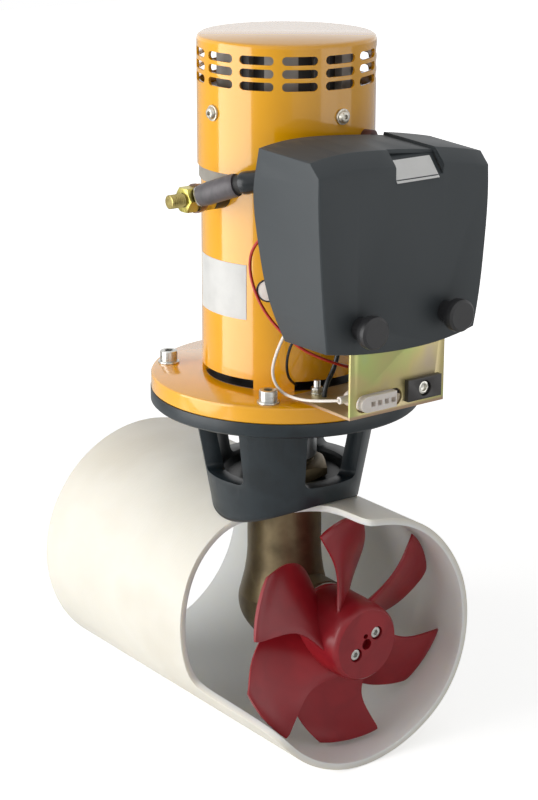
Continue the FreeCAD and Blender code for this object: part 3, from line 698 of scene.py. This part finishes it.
channel = sloping((42.6, 23, 2.2), (12.0, -126, 359.2))
rounded(channel, 0.7)
smooth(channel)
name_it(channel, "cover_channel_floor", box_abs)
plate = sloping((37.6, 17.6, 0.7), (10, -129.3, 357.7))
bpy.ops.object.transform_apply(location=True, rotation=True, scale=True)
facing = Vector((0, -math.sin(SLOPE), math.cos(SLOPE)))
pick(plate, lambda side: side.normal.dot(facing) > 0.9)
bpy.ops.mesh.inset(thickness=1.6 * MM, depth=-0.2 * MM)
close_edit()
rounded(plate, 0.18)
smooth(plate)
name_it(plate, "blank_plate", white_vinyl)

# %% [markdown]
# The roof steps up by 2 mm on the right of the channel. The skin of the cover is a copy, so its faces
# there can be cut free along the channel's side and lifted.

# %% The raised side of the roof
roof = skins["control_box_cover"]
only(roof)
bpy.ops.object.mode_set(mode="EDIT")
bpy.ops.mesh.select_all(action="SELECT")
bpy.ops.mesh.bisect(plane_co=(33.4 * MM, 0, 0), plane_no=(1, 0, 0))
close_edit()
pick(roof, lambda side: side.normal.z > 0.12 and side.center.x > 33.5 * MM
     and side.center.z > 346 * MM)
bpy.ops.mesh.extrude_region_move(TRANSFORM_OT_translate={"value": (0, 0, 2.2 * MM)})
close_edit()
smooth(roof)

# %% [markdown]
# ## Behind the slots
# Through the cover's slots one sees a grey screen round the brush gear, whose pockets are painted
# black as painted shade, and through the slots at the foot a black ring that is painted shade. The
# pockets are every other face of a cylinder, pushed in.


# %% The inner screen and the foot ring of painted shade
def paint_where(piece, coat, wanted):
    piece.data.materials.append(coat)
    for side in piece.data.polygons:
        if wanted(side):
            side.material_index = len(piece.data.materials) - 1


POCKETS = 26  # faces round the screen, every other one a pocket
screen = rod(POCKETS, 50, 399.3, 431)
pick(screen, every_other(POCKETS))
bpy.ops.mesh.inset(thickness=0.8 * MM, depth=-7 * MM, use_individual=True)
close_edit()
rounded(screen, 0.5)
smooth(screen, 30)
name_it(screen, "brush_gear_screen", screen_grey)
# The pocket floors are painted black phenolic: painted shade in the recesses.
paint_where(screen, relay_bakelite, lambda side: abs(side.normal.z) < 0.1
            and math.hypot(side.center.x, side.center.y) < 44.5 * MM)
# A black ring and a thin black sheet under the foot's slots: painted shade where those slots look
# dark.
foot_shade_ring = rod(64, 41, 188.6, 196.8)
cut_with(foot_shade_ring, rod(64, 34, 180, 200))
foot_shade_sheet = rod(96, 59, 188.55, 188.9)
cut_with(foot_shade_sheet, rod(64, 36, 180, 200))
rounded(foot_shade_ring, 0.4)
smooth(foot_shade_ring)
name_it(joined([foot_shade_ring, foot_shade_sheet]), "foot_painted_shade", relay_bakelite)

# %% Bronze film on the washer and the lug's ring
paint_where(skins["stud_nuts"], washer_zinc,
            lambda side: -84.75 * MM < side.center.x < -82 * MM)
paint_where(skins["cable_lugs"], washer_zinc, lambda side: side.center.x < -78.5 * MM
            and math.hypot(side.center.y + 5 * MM, side.center.z - STUD_Z) < 11 * MM)

# %% [markdown]
# ## Label and plug on the motor tube
# The label is a thin sheet wrapped round the tube: the wanted part of an open cylinder, given its
# thickness by Solidify. A moulded ring seats the plug.

# %% The blank label
LABEL_HALF = 25.5  # degrees round the tube, to each side of -X
bpy.ops.mesh.primitive_cylinder_add(vertices=180, radius=61.72 * MM, depth=40 * MM,
                                    end_fill_type="NOTHING", location=(0, 0, 260 * MM))
label = bpy.context.active_object
pick(label, lambda side:
     abs(math.degrees(math.atan2(-side.center.y, -side.center.x))) > LABEL_HALF)
bpy.ops.mesh.delete(type="FACE")
close_edit()
modify(label, "SOLIDIFY", thickness=0.16 * MM, offset=1)
smooth(label)
name_it(label, "blank_label", label_vinyl)

# %% The plug's rim
PLUG_TURN, PLUG_OUT = math.radians(-139), 62.1 * MM
bpy.ops.mesh.primitive_torus_add(major_radius=7.7 * MM, minor_radius=0.65 * MM, major_segments=48,
                                 minor_segments=12)
rim = bpy.context.active_object
rim.matrix_world = (Matrix.Translation((PLUG_OUT * math.cos(PLUG_TURN),
                                        PLUG_OUT * math.sin(PLUG_TURN), 263 * MM))
                    @ Matrix.Rotation(PLUG_TURN, 4, "Z") @ Matrix.Rotation(math.radians(90), 4, "Y"))
smooth(rim)
name_it(rim, "plug_rim", black_rubber)

# %% [markdown]
# ## Stage and light
# A white floor and four soft lamps, as in a small studio. A tall box close on the left makes the
# bright band down the enamel. A wide one above and one in front fill the tops and the box, and a low
# one on the right looks into the tunnel. The floor glows for the camera alone, less round the object,
# so that its shadow stays.

# %% The floor
bpy.ops.mesh.primitive_plane_add(size=8, location=(0, 0, cad_low.z - 0.0005))
floor = bpy.context.active_object
floor.name = "floor"
paper = finish("white paper", ["#F2F2F1", "#F5F5F4"], 0.9, drift=900, grain=8, height=0.01)
floor.data.materials.append(paper)
rays = put(paper, "LightPath", {})
spread = put(paper, "VectorMath", {0: first(paper, "TEX_COORD").outputs["Object"]},
             operation="LENGTH")
level = put(paper, "MapRange", {"Value": spread.outputs["Value"], "From Min": 0.5,
                                "From Max": 1.4, "To Min": 0.6, "To Max": 1.0})
glossy = put(paper, "Math", {0: rays.outputs["Is Glossy Ray"], 1: 0.2}, operation="MULTIPLY")
shine = put(paper, "Math", {0: rays.outputs["Is Camera Ray"], 1: glossy.outputs[0]},
            operation="MAXIMUM")
glow = put(paper, "Math", {0: shine.outputs[0], 1: level.outputs["Result"]}, operation="MULTIPLY")
tune(paper, {"Emission Color": (1, 1, 1, 1)})
paper.node_tree.links.new(glow.outputs[0], shader_of(paper).inputs["Emission Strength"])


# %% The lamps
def lamp(name, place, target, size, power):
    way = (Vector(target) - Vector(place)).to_track_quat("-Z", "Y").to_euler()
    bpy.ops.object.light_add(type="AREA", location=place, rotation=way)
    made = bpy.context.active_object
    made.name = name
    made.data.shape = "RECTANGLE"
    made.data.size, made.data.size_y = size
    made.data.energy = power
    made.visible_camera = False


lamp("left softbox", (-0.865, 0.248, 0.345), (0, 0, 0.345), (0.84, 0.86), 8.5)
lamp("top softbox", (-0.2, -0.3, 1.9), (0, 0, 0.1), (2.2, 2.0), 7)
lamp("front fill", (0.0, -2.2, 0.3), (0, 0, 0.05), (2.6, 1.8), 5)
lamp("low fill", (0.75, -1.35, 0.05), (-0.03, -0.02, -0.02), (1.3, 0.8), 3.2)

# %% [markdown]
# The world is white where the camera, a reflection or clear plastic looks at it, and dim as a light,
# so that the shade sides keep their depth.

# %% The world
world = bpy.data.worlds.new("studio")
bpy.context.scene.world = world
world.use_nodes = True
sky = world.node_tree.nodes["Background"]
sky.inputs["Color"].default_value = light_of("#FFFFFF")
seen = put(world, "LightPath", {})
shown = put(world, "Math", {0: seen.outputs["Is Camera Ray"], 1: seen.outputs["Is Glossy Ray"]},
            operation="ADD")
shown = put(world, "Math", {0: shown.outputs[0], 1: seen.outputs["Is Transmission Ray"]},
            operation="ADD", use_clamp=True)
strength = put(world, "MapRange", {"Value": shown.outputs[0], "To Min": 0.24, "To Max": 1.0})
world.node_tree.links.new(strength.outputs["Result"], sky.inputs["Strength"])
bpy.context.scene.view_settings.view_transform = "Standard"
